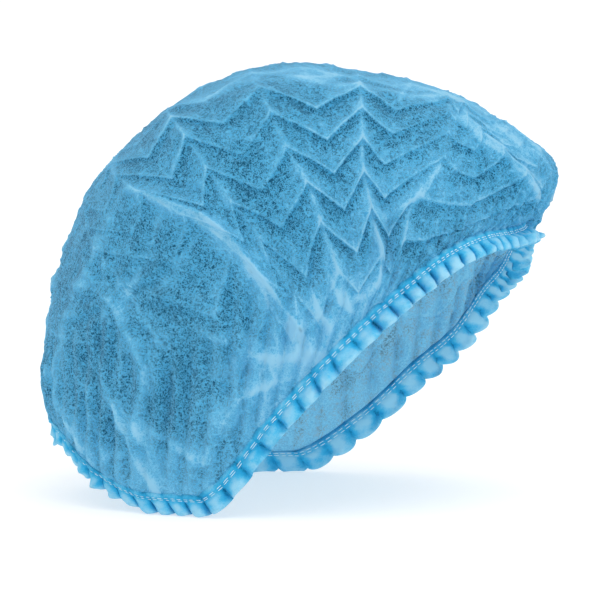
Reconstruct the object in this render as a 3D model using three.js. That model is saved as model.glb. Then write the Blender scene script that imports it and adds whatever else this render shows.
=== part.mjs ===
import * as THREE from "three";

// Disposable bouffant cap of spunbond non-woven web, puffed out and resting on the left end of its
// rim. Millimetres; X runs along the cap, Y from front to back, Z up. The floor is Z = 0.

const wallThickness = 1.2; // a folded web, as thick as its pressed pleats stand
const tiedWallExtra = 1.7; // the pleats lie several deep where they are tied, at the left end
const tiedReach = 65;
const tiedCentre = new THREE.Vector3(-112, 10, 125);
const seamGap = 0.3; // clearance between neighbouring pieces

const stations = 144; // round the rim, two to each scallop of the hem
const ruffleCount = 72;
const pleatKinks = 36; // lines from rim to top where the pressed pleats change direction
const pleatRows = 16; // pressed pleats between the rim and the top
const gatheredRows = 4; // rows next to the rim that are gathered instead
const pleatDepth = 2.7;
const kinkRise = 0.04; // how far a kink lifts or drops a pleat, as a share of the rim-to-top length
const kinkDepth = 1.3;
const openLength = 240; // from rim to top where the pleats stand fully; they shrink where it is shorter
const gatherAtSeam = 0.2;
const gatherSlope = 75; // gathers grow from the seam by this, and die away over gatherReach
const gatherReach = 0.07;

// The rim: the lower edge of the hem, an oval bent upwards at its left end and over its right half
const rim = {
  middleX: -1,
  halfLength: 127.3,
  lean: 34.3, // the middle of both sides lies this much further right
  farLean: 6.4,
  middleY: 7,
  halfDepth: 92,
  taper: 0.14,
};
const rimHeights = [
  { angle: 0, height: 137 },
  { angle: 15, height: 137.6 },
  { angle: 30, height: 137.3 },
  { angle: 45, height: 136.8 },
  { angle: 60, height: 129.5 },
  { angle: 75, height: 110.5 },
  { angle: 90, height: 82 },
  { angle: 105, height: 45 },
  { angle: 120, height: 2.2 },
  { angle: 135, height: 0 },
  { angle: 150, height: 11 },
  { angle: 165, height: 27.6 },
  { angle: 180, height: 32.3 },
  { angle: 195, height: 24 },
  { angle: 210, height: 9 },
  { angle: 225, height: 0 },
  { angle: 240, height: 0 },
  { angle: 255, height: 0 },
  { angle: 270, height: 22 },
  { angle: 285, height: 50.7 },
  { angle: 300, height: 72 },
  { angle: 315, height: 97 },
  { angle: 330, height: 112 },
  { angle: 345, height: 127.6 },
];
const capUp = new THREE.Vector3(-0.532, 0.309, 0.788).normalize(); // away from the opening
const hemDrop = 13; // from the seam down to the edge of the ruffle

// Rings of the crown from the seam to the top line: both ends seen from the front, the half depth
// from front to back, the middle's Y, the roll that lifts the front, and how far the ring bows up
const rings = [
  { leftX: -133, leftZ: 40.8, rightX: 125.4, rightZ: 142.1, depth: 92, middleY: 7, roll: 19, bow: -28 },
  { leftX: -135.2, leftZ: 59.6, rightX: 132.9, rightZ: 154.5, depth: 102, middleY: 12, roll: 18, bow: -18 },
  { leftX: -136, leftZ: 82.8, rightX: 137.8, rightZ: 168, depth: 111, middleY: 17, roll: 16, bow: -8 },
  { leftX: -132.4, leftZ: 107.6, rightX: 135.1, rightZ: 179.3, depth: 115, middleY: 22, roll: 13, bow: 3 },
  { leftX: -126.2, leftZ: 130.4, rightX: 128.6, rightZ: 185.9, depth: 112, middleY: 26, roll: 10, bow: 17 },
  { leftX: -119, leftZ: 151.6, rightX: 121.7, rightZ: 190.4, depth: 100, middleY: 29, roll: 7, bow: 31 },
  { leftX: -111.5, leftZ: 166, rightX: 116.8, rightZ: 192.9, depth: 75, middleY: 31, roll: 4, bow: 42 },
  { leftX: -105.1, leftZ: 174, rightX: 114.2, rightZ: 193.9, depth: 0, middleY: 32, roll: 2, bow: 48 },
];
const eggTaper = 0.16; // the cap is deeper at its left end than at its right
const bowSkew = 0.12;
const rimReach = 0.4; // share of the rim-to-top length over which the rings take the rim's shape
const twistAtRim = 0.3; // radians that the lines from rim to top lean to the right
const twistFade = 0.8;

// Long soft folds, as seen from the front: from one point to another, raised or sunk by height
const folds = [
  { side: "front", fromX: -80, fromZ: 173, toX: -45, toZ: 158, height: 5.6, width: 8 },
  { side: "front", fromX: -45, fromZ: 158, toX: 3, toZ: 99, height: 7, width: 8 },
  { side: "front", fromX: 81, fromZ: 208, toX: 122, toZ: 167, height: 5.6, width: 11 },
  { side: "front", fromX: -110, fromZ: 119, toX: -86, toZ: 89, height: 5.6, width: 6 },
  { side: "front", fromX: -86, fromZ: 89, toX: -78, toZ: 32, height: 5.6, width: 6 },
  { side: "front", fromX: -109, fromZ: 83, toX: -92, toZ: 36, height: 4.2, width: 5 },
  { side: "front", fromX: -95, fromZ: 111, toX: -64, toZ: 142, height: 4.2, width: 6 },
  { side: "front", fromX: -62, fromZ: 102, toX: -12, toZ: 85, height: 5.6, width: 7 },
  { side: "front", fromX: -21, fromZ: 76, toX: -51, toZ: 30, height: 4.2, width: 7 },
  { side: "front", fromX: 34, fromZ: 169, toX: 46, toZ: 120, height: 4.2, width: 7 },
  { side: "back", fromX: -95, fromZ: 165, toX: -30, toZ: 120, height: 5.6, width: 9 },
  { side: "back", fromX: -30, fromZ: 120, toX: 25, toZ: 70, height: 5.6, width: 8 },
  { side: "back", fromX: -110, fromZ: 110, toX: -70, toZ: 45, height: 5.6, width: 7 },
  { side: "back", fromX: 40, fromZ: 195, toX: 70, toZ: 110, height: 4.2, width: 8 },
  { side: "back", fromX: 95, fromZ: 190, toX: 115, toZ: 150, height: 4.2, width: 9 },
  { side: "both", fromX: 28, fromZ: 232, toX: 34, toZ: 190, height: -3, width: 18 },
  { side: "both", fromX: 80, fromZ: 226, toX: 100, toZ: 195, height: 2.5, width: 16 },
];

// The fan of pleats round the tied end of the web, on the front of the left end
const fan = { x: -114, z: 132, rays: 11, height: 2.2, inner: 12, outer: 62 };

// The hem's section: out from the seam's outer face, down from the seam, and the size of its ruffle
const hemSection = [
  { name: "top, outer", out: 0, down: seamGap, ruffle: gatherAtSeam },
  { name: "between the stitch rows", out: 0.3, down: 3.2, ruffle: 0.3 },
  { name: "under the stitch rows", out: 0, down: 6.4, ruffle: 0.3 },
  { name: "ruffle, outer", out: 1, down: 9.6, ruffle: 2 },
  { name: "fold, outer", out: 0.4, down: 12.8, ruffle: 3 },
  { name: "fold, inner", out: -1.8, down: 12.8, ruffle: 3 },
  { name: "ruffle, inner", out: -2.2, down: 9.6, ruffle: 2 },
  { name: "inner layer, foot", out: -4.3, down: 6.6, ruffle: 0 },
  { name: "inner layer, top", out: -4.3, down: 1.2, ruffle: 0 },
  { name: "channel, inner top", out: -3.1, down: 1.2, ruffle: 0 },
  { name: "channel, inner foot", out: -3.1, down: 5.9, ruffle: 0 },
  { name: "channel, outer foot", out: -1.3, down: 5.9, ruffle: 0 },
  { name: "channel, outer top", out: -1.3, down: seamGap, ruffle: 0 },
];
const scallopDrop = 0.7; // the fold hangs lower at the crest of each scallop
const elasticWidth = 4;
const elasticThickness = 1.2;
const elasticSection = [
  { out: -1.6, down: 1.55 },
  { out: -1.6, down: 1.55 + elasticWidth },
  { out: -1.6 - elasticThickness, down: 1.55 + elasticWidth },
  { out: -1.6 - elasticThickness, down: 1.55 },
];

const webBlue = 0x4fa6d3;
const hemBlue = 0x3fa3d6;
const elasticBlue = 0xa9d8ee;

const fullTurn = 2 * Math.PI;

// A smooth curve through four values, from b at t = 0 to c at t = 1
function between(a, b, c, d, t) {
  const bend = 2 * a - 5 * b + 4 * c - d;
  const twist = 3 * b - a - 3 * c + d;
  return 0.5 * (2 * b + (c - a) * t + bend * t ** 2 + twist * t ** 3);
}

// One column of the ring table at a share of the way up. Past the top line the rings repeat
// downwards, with the depth turned over, so that the cloth passes smoothly over the top.
function ringValue(column, share) {
  const last = rings.length - 1;
  const place = Math.min(Math.max(share, 0), 1) * last;
  const row = Math.min(Math.floor(place), last - 1);
  const at = (index) => {
    if (index < 0) return 2 * rings[0][column] - rings[1][column];
    if (index > last) return (column === "depth" ? -1 : 1) * rings[last - 1][column];
    return rings[index][column];
  };
  return between(at(row - 1), at(row), at(row + 1), at(row + 2), place - row);
}

// A point of the smooth ring at an angle: an oval that is tapered, rolled and bowed
function ringPoint(angle, share) {
  const along = Math.cos(angle);
  const across = Math.sin(angle);
  const ring = {};
  for (const column of Object.keys(rings[0])) ring[column] = ringValue(column, share);
  const halfX = (ring.rightX - ring.leftX) / 2;
  const halfZ = (ring.rightZ - ring.leftZ) / 2;
  const halfLength = Math.hypot(halfX, halfZ);
  const rise = ring.bow * across ** 2 * (1 - bowSkew * along);
  const depth = ring.depth * (1 - eggTaper * along) * across;
  const roll = THREE.MathUtils.degToRad(ring.roll);
  return new THREE.Vector3(
    ring.leftX + halfX * (1 + along) - (halfZ / halfLength) * rise,
    ring.middleY - depth * Math.cos(roll),
    ring.leftZ + halfZ * (1 + along) + (halfX / halfLength) * rise + depth * Math.sin(roll),
  );
}

// The height of the rim at an angle, never below the floor
function rimHeight(angle) {
  const turns = angle / fullTurn - Math.floor(angle / fullTurn);
  const place = turns * rimHeights.length;
  const row = Math.floor(place);
  const at = (index) => rimHeights[(index + rimHeights.length) % rimHeights.length].height;
  return Math.max(between(at(row - 1), at(row), at(row + 1), at(row + 2), place - row), 0);
}

function rimPoint(angle) {
  const along = Math.cos(angle);
  const across = Math.sin(angle);
  return new THREE.Vector3(
    rim.middleX + rim.halfLength * along + (rim.lean - rim.farLean * across) * across ** 2,
    rim.middleY - rim.halfDepth * across * (1 - rim.taper * along),
    rimHeight(angle),
  );
}

function seamPoint(angle) {
  return rimPoint(angle).addScaledVector(capUp, hemDrop);
}

// Outwards from the rim, square to it and to the hem
function seamNormal(angle) {
  const step = 0.02;
  const run = rimPoint(angle + step).sub(rimPoint(angle - step));
  return capUp.clone().cross(run).normalize();
}

// The cap's smooth form before any pleat or fold: the rings, bent near the rim to meet the seam
function smoothPoint(angle, share) {
  const twist = (height) => twistAtRim * Math.max(1 - height, 0) ** twistFade * Math.sin(angle);
  const point = ringPoint(angle - twist(share), share);
  const fade = Math.max(1 - share / rimReach, 0) ** 2;
  const shift = seamPoint(angle).sub(ringPoint(angle - twist(0), 0));
  return point.addScaledVector(shift, fade);
}

function smoothNormal(angle, share) {
  const step = 0.01;
  if (share > 1 - step) {
    return smoothNormal(angle, 1 - 2 * step).add(smoothNormal(-angle, 1 - 2 * step)).normalize();
  }
  const round = smoothPoint(angle + step, share).sub(smoothPoint(angle - step, share));
  const up = smoothPoint(angle, share + step).sub(smoothPoint(angle, Math.max(share - step, 0)));
  const normal = up.cross(round).normalize();
  const rimShare = Math.max(1 - share / (4 * step), 0);
  return normal.lerp(seamNormal(angle), rimShare).normalize();
}

// 1 on a ridge line and -1 on a valley line, straight between them
function zigzag(angle) {
  const place = ((angle / fullTurn) * pleatKinks) / 2;
  return 4 * Math.abs(place - Math.floor(place) - 0.5) - 1;
}

// The pressed pleats fade out at the gathers and at the top line
function pleatStrength(share) {
  const start = gatheredRows / pleatRows;
  return Math.sin(Math.PI * THREE.MathUtils.clamp((share - start) / (1 - start), 0, 1)) ** 0.5;
}

// Where the way from rim to top is short, at the two ends, the pleats are shallower
function openShare(angle, share) {
  const step = 0.01;
  const low = Math.max(Math.min(share, 1 - step), step);
  const length = smoothPoint(angle, low + step).distanceTo(smoothPoint(angle, low - step)) / (2 * step);
  return Math.min(length / openLength, 1);
}

function gatherHeight(share) {
  return (gatherAtSeam + gatherSlope * share) * Math.exp(-share / gatherReach);
}

// How far a long fold lifts the cloth at a point: a soft ridge that dies away at both ends
function foldHeight(fold, point, frontShare) {
  const side = { front: frontShare, back: 1 - frontShare, both: 1 }[fold.side];
  const runX = fold.toX - fold.fromX;
  const runZ = fold.toZ - fold.fromZ;
  const run = Math.hypot(runX, runZ);
  const along = ((point.x - fold.fromX) * runX + (point.z - fold.fromZ) * runZ) / run;
  const beside = ((point.x - fold.fromX) * runZ - (point.z - fold.fromZ) * runX) / run;
  const past = Math.max(-along, along - run, 0);
  return side * fold.height * Math.exp(-((beside / fold.width) ** 2) - (past / (1.5 * fold.width)) ** 2);
}

function fanHeight(point, frontShare) {
  const runX = point.x - fan.x;
  const runZ = point.z - fan.z;
  const reach = Math.hypot(runX, runZ);
  const strength = Math.min(reach / fan.inner, 1) * Math.max(1 - reach / fan.outer, 0);
  return frontShare * fan.height * strength * Math.cos(fan.rays * Math.atan2(runZ, runX));
}

// How far the cloth stands out from its smooth form. pleatSide is 1 on a row that is pressed
// outwards and -1 on a row pressed inwards.
function relief(angle, share, point, pleatSide) {
  const frontShare = THREE.MathUtils.smoothstep(Math.sin(angle), -0.25, 0.25);
  const strength = pleatStrength(share) * openShare(angle, share);
  let height = strength * (pleatDepth * pleatSide + kinkDepth * zigzag(angle));
  height += gatherHeight(share) * Math.cos(ruffleCount * angle);
  height += fanHeight(point, frontShare);
  const seamFade = Math.min(share / 0.08, 1);
  for (const fold of folds) height += seamFade * foldHeight(fold, point, frontShare);
  return height;
}

// The two faces of the crown's wall at a station and a row
function wallPoints(station, row) {
  const angle = (station / stations) * fullTurn;
  const level = row / pleatRows;
  const share = level + kinkRise * pleatStrength(level) * zigzag(angle);
  const point = smoothPoint(angle, share);
  const normal = share === 0 ? seamNormal(angle) : smoothNormal(angle, share);
  const pleatSide = row % 2 === 0 ? 1 : -1;
  const extra = tiedWallExtra * Math.exp(-((point.distanceTo(tiedCentre) / tiedReach) ** 2));
  const seamShare = Math.min(share / 0.05, 1);
  const outer = point.clone().addScaledVector(normal, relief(angle, share, point, pleatSide));
  const inner = outer.clone().addScaledVector(normal, -wallThickness - extra * seamShare);
  return [outer, inner];
}

// A mesh from corner points and triangles, set down so that nothing reaches below the floor: the
// cloth lies flat where it rests
function clothMesh(name, points, triangles, color) {
  const geometry = new THREE.BufferGeometry();
  const places = points.flatMap((point) => [point.x, point.y, Math.max(point.z, 0)]);
  geometry.setAttribute("position", new THREE.Float32BufferAttribute(places, 3));
  geometry.setIndex(triangles);
  geometry.computeVertexNormals();
  const material = new THREE.MeshStandardMaterial({ color, roughness: 0.85, metalness: 0 });
  const mesh = new THREE.Mesh(geometry, material);
  mesh.name = name;
  return mesh;
}

// Joins two rings of corner numbers, the second as long as the first or half as long
function joinRings(lower, upper, triangles, flip) {
  const ratio = lower.length / upper.length;
  const add = (a, b, c) => triangles.push(...(flip ? [a, c, b] : [a, b, c]));
  for (let index = 0; index < upper.length; index += 1) {
    const next = (index + 1) % upper.length;
    const low = lower[index * ratio];
    const lowNext = lower[(next * ratio) % lower.length];
    if (ratio === 1) {
      add(low, lowNext, upper[next]);
      add(low, upper[next], upper[index]);
    } else {
      const middle = lower[index * ratio + 1];
      add(low, middle, upper[index]);
      add(middle, upper[next], upper[index]);
      add(middle, lowNext, upper[next]);
    }
  }
}

// The crown: an outer and an inner face from the seam to the top line, joined round the seam. Rows
// near the seam have every station, the others every second one.
function crown() {
  const points = [];
  const triangles = [];
  const faces = [0, 1].map((face) => {
    const rows = [];
    for (let row = 0; row <= pleatRows; row += 1) {
      const step = row < gatheredRows ? 1 : 2;
      const ring = [];
      for (let station = 0; station < stations; station += step) {
        const mirrored = stations - station;
        if (row === pleatRows && station > stations / 2) {
          ring.push(ring[mirrored / step]);
        } else {
          ring.push(points.length);
          points.push(wallPoints(station, row)[face]);
        }
      }
      rows.push(ring);
    }
    return rows;
  });
  faces.forEach((rows, face) => {
    for (let row = 0; row < pleatRows; row += 1) joinRings(rows[row], rows[row + 1], triangles, face === 0);
  });
  joinRings(faces[1][0], faces[0][0], triangles, true);
  const whole = [];
  for (let index = 0; index < triangles.length; index += 3) {
    const [a, b, c] = triangles.slice(index, index + 3);
    if (a !== b && b !== c && c !== a) whole.push(a, b, c);
  }
  return clothMesh("crown", points, whole, webBlue);
}

// A section carried round the rim and closed on itself
function carriedSection(name, section, color) {
  const points = [];
  const rows = section.map((corner) => {
    const ring = [];
    for (let station = 0; station < stations; station += 1) {
      const angle = (station / stations) * fullTurn;
      const crest = Math.cos(ruffleCount * angle);
      const ruffle = corner.ruffle ?? 0;
      const out = corner.out + ruffle * crest;
      const down = corner.down + (ruffle > 1 ? scallopDrop * crest : 0);
      const place = seamPoint(angle).addScaledVector(seamNormal(angle), out).addScaledVector(capUp, -down);
      ring.push(points.length);
      points.push(place);
    }
    return ring;
  });
  const triangles = [];
  rows.forEach((ring, index) => joinRings(rows[(index + 1) % rows.length], ring, triangles, true));
  return clothMesh(name, points, triangles, color);
}

const cap = new THREE.Group();
cap.add(crown());
cap.add(carriedSection("hem_ruffle", hemSection, hemBlue));
cap.add(carriedSection("elastic_band", elasticSection, elasticBlue));

// The origin is on the floor under the middle of the whole cap
const middle = new THREE.Box3().setFromObject(cap).getCenter(new THREE.Vector3());
for (const piece of cap.children) piece.position.set(-middle.x, -middle.y, 0);

export default cap;
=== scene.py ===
from types import SimpleNamespace

import bpy
import numpy as np
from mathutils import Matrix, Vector


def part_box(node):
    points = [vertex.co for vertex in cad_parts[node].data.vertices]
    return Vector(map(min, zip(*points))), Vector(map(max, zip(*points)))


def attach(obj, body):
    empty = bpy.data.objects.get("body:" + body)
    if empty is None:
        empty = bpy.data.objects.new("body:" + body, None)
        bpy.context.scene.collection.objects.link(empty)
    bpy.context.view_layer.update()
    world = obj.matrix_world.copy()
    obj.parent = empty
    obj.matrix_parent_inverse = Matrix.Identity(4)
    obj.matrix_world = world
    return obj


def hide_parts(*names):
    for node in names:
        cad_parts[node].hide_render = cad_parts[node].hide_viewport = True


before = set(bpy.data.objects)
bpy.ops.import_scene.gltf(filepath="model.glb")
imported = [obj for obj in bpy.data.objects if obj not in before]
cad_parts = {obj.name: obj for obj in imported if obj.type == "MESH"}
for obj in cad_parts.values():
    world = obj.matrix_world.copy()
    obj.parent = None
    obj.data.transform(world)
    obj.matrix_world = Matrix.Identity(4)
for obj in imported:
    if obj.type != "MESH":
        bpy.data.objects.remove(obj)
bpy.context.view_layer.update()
print("frame loaded")

mm = 0.001  # the shapes are worked out in millimetres and meshed in metres
fullTurn = 2 * np.pi
frontTilt = np.radians(6)  # the photograph looks down by this much

# helpers for arrays


def smoothStep(value, low, high):
    # 0 below low, 1 above high, an S-shaped curve between
    t = np.clip((value - low) / (high - low), 0, 1)
    return t * t * (3 - 2 * t)


def bell(away, width):
    # 1 at the middle, falling evenly to both sides
    return np.exp(-((away / width) ** 2))


def curveThrough(before, start, end, after, t):
    # Catmull-Rom: passes through start at t = 0 and through end at t = 1
    bend = 2 * before - 5 * start + 4 * end - after
    twist = 3 * start - before - 3 * end + after
    return 0.5 * (2 * start + (end - before) * t + bend * t**2 + twist * t**3)


def unit(vectors):
    # each vector divided by its length
    return vectors / np.maximum(np.linalg.norm(vectors, axis=-1, keepdims=True), 1e-9)


# the cap's smooth form

capForm = {
    # rings from the seam to the top line: both ends seen from the front, half depth,
    # middle's Y, roll in degrees that lifts the front, and how far the ring bows up
    "rings": [
        [-133, 40.8, 125.4, 142.1, 92, 7, 19, -28],
        [-135.2, 59.6, 132.9, 154.5, 102, 12, 18, -18],
        [-136, 82.8, 137.8, 168, 111, 17, 16, -8],
        [-132.4, 107.6, 135.1, 179.3, 115, 22, 13, 3],
        [-126.2, 130.4, 128.6, 185.9, 112, 26, 10, 17],
        [-119, 151.6, 121.7, 190.4, 100, 29, 7, 31],
        [-111.5, 166, 116.8, 192.9, 75, 31, 4, 42],
        [-105.1, 174, 114.2, 193.9, 0, 32, 2, 48],
    ],
    # height of the rim every 15 degrees, from the right end round the front
    "rimHeights": [
        137, 137.6, 137.3, 136.8, 129.5, 110.5, 82, 45, 2.2, 0, 11, 27.6,
        32.3, 24, 9, 0, 0, 0, 22, 50.7, 72, 97, 112, 127.6,
    ],
    "rimMiddle": (-1, 7),
    "rimHalfLength": 127.3,
    "rimHalfDepth": 92,
    "rimTaper": 0.14,  # narrower on the right
    "rimLean": 34.3,  # how far the near and far sides lean to the right
    "rimFarLean": 6.4,
    "capUp": (-0.532, 0.309, 0.788),
    "hemDrop": 13,  # from the seam down to the rim
    "eggTaper": 0.16,  # the rings are narrower on the right
    "bowSkew": 0.12,
    "rimReach": 0.4,  # up to this share of the way the rings bend to meet the seam
    "twistAtRim": 0.3,  # radians
    "twistFade": 0.8,
    "topBlend": 0.94,  # from this share up, the normals of front and back are averaged
    "rimBlend": 0.04,  # below this share, a normal turns into the seam's own
}
slopeStep = 0.01  # for slopes: radians round the cap, and shares of the way up

ringTable = np.array(capForm["rings"], float)
depthColumn = 4
mirrorSigns = np.ones(ringTable.shape[1])
mirrorSigns[depthColumn] = -1
ringRows = np.vstack([2 * ringTable[0] - ringTable[1], ringTable, mirrorSigns * ringTable[-2]])
rimHeights = np.array(capForm["rimHeights"], float)
capUp = np.array(capForm["capUp"]) / np.linalg.norm(capForm["capUp"])


def ringPoint(angle, share):
    # an oval through both ends of the ring: x and z run along cos(angle), depth along
    # sin(angle), tapered to the right, rolled by its roll and bowed up by sin squared
    last = len(ringTable) - 1
    place = np.clip(share, 0, 1) * last
    row = np.minimum(place.astype(int), last - 1)
    t = (place - row)[..., None]
    values = curveThrough(ringRows[row], ringRows[row + 1], ringRows[row + 2], ringRows[row + 3], t)
    leftX, leftZ, rightX, rightZ, depth, middleY, roll, bow = np.moveaxis(values, -1, 0)
    along, across = np.cos(angle), np.sin(angle)
    halfX, halfZ = (rightX - leftX) / 2, (rightZ - leftZ) / 2
    halfLength = np.hypot(halfX, halfZ)
    rise = bow * across**2 * (1 - capForm["bowSkew"] * along)
    depth = depth * (1 - capForm["eggTaper"] * along) * across
    roll = np.radians(roll)
    x = leftX + halfX * (1 + along) - halfZ / halfLength * rise
    y = middleY - depth * np.cos(roll)
    z = leftZ + halfZ * (1 + along) + halfX / halfLength * rise + depth * np.sin(roll)
    return np.stack([x, y, z], -1)


def rimPoint(angle):
    # an oval leaning to the right at its middle, at the height of the rim table
    along, across = np.cos(angle), np.sin(angle)
    place = np.mod(angle, fullTurn) / fullTurn * len(rimHeights)
    row = place.astype(int)
    near = [rimHeights[(row + k) % len(rimHeights)] for k in (-1, 0, 1, 2)]
    height = np.maximum(curveThrough(*near, place - row), 0)
    lean = (capForm["rimLean"] - capForm["rimFarLean"] * across) * across**2
    x = capForm["rimMiddle"][0] + capForm["rimHalfLength"] * along + lean
    y = capForm["rimMiddle"][1] - capForm["rimHalfDepth"] * across * (1 - capForm["rimTaper"] * along)
    return np.stack([x, y, height], -1)


def seamPoint(angle):
    return rimPoint(angle) + capForm["hemDrop"] * capUp


def seamNormal(angle):
    # square to the rim and to the cap's up, outwards
    return unit(np.cross(capUp, rimPoint(angle + 2 * slopeStep) - rimPoint(angle - 2 * slopeStep)))


def smoothPoint(angle, share):
    # the ring at that share, turned by a twist that fades upwards, and bent near the rim
    # so that it meets the seam
    twist = capForm["twistAtRim"] * np.maximum(1 - share, 0) ** capForm["twistFade"] * np.sin(angle)
    twistLow = capForm["twistAtRim"] * np.sin(angle)
    fade = np.maximum(1 - share / capForm["rimReach"], 0) ** 2
    shift = seamPoint(angle) - ringPoint(angle - twistLow, 0 * share)
    return ringPoint(angle - twist, share) + shift * fade[..., None]


def slopeNormal(angle, share):
    share = np.minimum(share, 1 - 2 * slopeStep)
    around = smoothPoint(angle + slopeStep, share) - smoothPoint(angle - slopeStep, share)
    upward = smoothPoint(angle, share + slopeStep) - smoothPoint(angle, np.maximum(share - slopeStep, 0))
    return unit(np.cross(upward, around))


def smoothNormal(angle, share):
    # up crossed with round; over the top line the front's and the back's are averaged,
    # and by the seam it turns into the seam's own normal
    normal = slopeNormal(angle, share)
    facing = slopeNormal(-angle, share)
    topShare = smoothStep(share, capForm["topBlend"], 1.0)[..., None]
    normal = unit(normal * (1 - topShare / 2) + facing * topShare / 2)
    rimShare = np.maximum(1 - share / capForm["rimBlend"], 0)[..., None]
    return unit(normal * (1 - rimShare) + seamNormal(angle) * rimShare)


# the frame's own place is read from the elastic, which both models share; the corners are
# how far its section lies out from the seam and down
checkAngles = np.arange(144) / 144 * fullTurn
elasticCorners = [(out, down) for out in (-1.6, -2.8) for down in (1.55, 5.55)]
elasticPoints = np.concatenate([
    seamPoint(checkAngles) + out * seamNormal(checkAngles) - down * capUp
    for out, down in elasticCorners
])
elasticMiddle = (elasticPoints.min(0) + elasticPoints.max(0)) / 2
elasticLow, elasticHigh = (np.array(corner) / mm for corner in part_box("elastic_band"))
frameShift = (elasticLow + elasticHigh) / 2 - elasticMiddle
print("shift to the frame, mm:", np.round(frameShift, 3))
frameShift[2] = 0  # both stand on the floor

# lines of the pleats

pleats = {
    "count": 8,  # pressed pleats from the rim to the top line
    "rowsEach": 15,  # rows of faces to a pleat
    "firstRow": 3,  # the lowest crest is this many rows up
    "rise": 0.058,  # how far a kink lifts a pleat, as a share of the rim-to-top length
    "fade": (0.07, 0.1, 0.2),  # where they begin, and how long they take to rise and to fade
    "height": 2.6,
    "fullLength": 140,  # mm from rim to top where the pleats stand fully
    "fall": 0.7,  # below 1 a pleat falls away steeply under its crest
    "swellFrom": 0.8,  # the share of a pleat where it swells to the next crest
    "sunk": 0.4,  # the share of the height that lies below the smooth form
    # widths as a share of a pleat, and how much denser the web looks there; the slope's tone is painted
    # light on the face just above each crest
    "crest": (0.045, 0.24),
    "slope": (0.25, 0.18),
    # painted shade on the face under the next crest up
    "paintedShadeUnderCrest": -0.18,
    "kinkStep": 0.15,  # of the way up, from one column of the table to the next
    "sectorDegrees": 0.75,  # wanted width of a station
    # angles in degrees of the lines where the pleats kink, ridge and valley by turns, on
    # the front: one row to a line, one column to each 0.15 of the way up
    "kinkAngles": [
        [0, 0, 0, 0, 0, 0, 0, 0],
        [4, 6, 9, 11.5, 12, 12, 11, 10],
        [9, 13, 19, 24, 26, 25, 22, 20],
        [16, 20, 29, 37, 39, 37.5, 33, 30],
        [25, 28.5, 39, 48, 50, 48, 44, 40],
        [55, 60, 60, 56.5, 53.8, 50.5, 47, 43],
        [76, 79.8, 78.3, 66, 58.5, 53, 50, 46],
        [80, 82.2, 84.4, 81, 74, 68, 62, 58],
        [83, 84.9, 87.6, 86.2, 82, 78.3, 76, 74],
        [88, 89.5, 93, 92.6, 90.6, 90.5, 91, 92],
        [92, 94, 98.5, 99, 100.8, 102.3, 104.2, 106],
        [96, 99.5, 105.8, 108.2, 110.5, 114.4, 119, 122],
        [99.5, 102.6, 109.9, 115, 119.3, 124.6, 130, 136],
        [102, 105, 112.4, 120, 128.2, 137, 143, 147],
        [105, 108, 115, 124.5, 137, 148.5, 154, 157],
        [113, 117, 127, 137, 149, 157, 161, 163],
        [124, 129, 140, 148, 157, 164.5, 167, 168.5],
        [141, 146, 156, 162, 168, 172, 173, 174],
        [180, 180, 180, 180, 180, 180, 180, 180],
    ],
    # how strongly the pleats stand: by kink line on the front, and one value for the back
    "frontStrength": [
        0.2, 0.3, 0.4, 0.55, 0.8, 1, 1, 1, 1, 1, 1, 1, 1, 0.8, 0.45, 0.35, 0.3, 0.25, 0.2,
    ],
    "backStrength": 0.85,
    "leftFade": 0.75,  # on the back the pleats fade by the left end of the top line
}

kinks = {
    "fade": (0.04, 0.1, 0.15),
    "height": 1.6,
    "fullWidth": 12,  # mm between two lines where a kink stands fully
    "backStrength": 0.8,
    "ridgeLines": ((1.2, 0.24), (4, 0.12)),  # width in mm and tone
    "valleyLines": ((1.4, 0.12),),
}

kinkFront = np.array(pleats["kinkAngles"], float)
lastKink = len(kinkFront) - 1
sectorWidths = np.diff(kinkFront, axis=0).max(1)
evenCounts = np.round(sectorWidths / pleats["sectorDegrees"] / 2).astype(int) * 2
sectorCounts = np.maximum(evenCounts, 12)
betweenKinks = [k + np.arange(count) / count for k, count in enumerate(sectorCounts)]
frontKinks = np.concatenate(betweenKinks + [[lastKink]])
halfStations = len(frontKinks) - 1
stations = 2 * halfStations
kinkPlace = np.concatenate([frontKinks, frontKinks[-2:0:-1]])  # the back mirrors the front
isBack = np.arange(stations) > halfStations
wobbleDraw = np.random.default_rng(7)
backWobble = np.concatenate([[0], wobbleDraw.uniform(-1.6, 1.6, lastKink - 1), [0]])
print("stations round the cap:", stations)


def tableAngle(table, place, share):
    # straight between two lines, a smooth curve up each line
    up = np.clip(share / pleats["kinkStep"], 0, table.shape[1] - 1.001)
    column = up.astype(int)
    t = up - column
    line = np.minimum(place.astype(int), lastKink - 1)

    def curve(row):
        top = table.shape[1] - 1
        columns = [np.clip(column + k, 0, top) for k in (-1, 0, 1, 2)]
        return curveThrough(*[table[row, c] for c in columns], t)

    return curve(line) + (curve(line + 1) - curve(line)) * (place - line)


def stationAngle(place, share, back):
    # the front follows the table; the back has even lines low down and, at the top line,
    # the mirror of the front's, so that both meet station by station
    front = tableAngle(kinkFront, place, share)
    evenLines = place * 180 / lastKink + np.interp(place, np.arange(lastKink + 1), backWobble)
    topShare = smoothStep(share, 0.55, 1.0)
    behind = 360 - (front * topShare + evenLines * (1 - topShare))
    return np.radians(np.where(back, behind, front))


def kinkShape(place):
    # 1 on ridge lines, -1 on valley lines; it leaves a ridge steeply
    fraction = np.abs(place - 2 * np.round(place / 2))
    return 1 - 2 * fraction**0.85


# folds and creases

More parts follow.
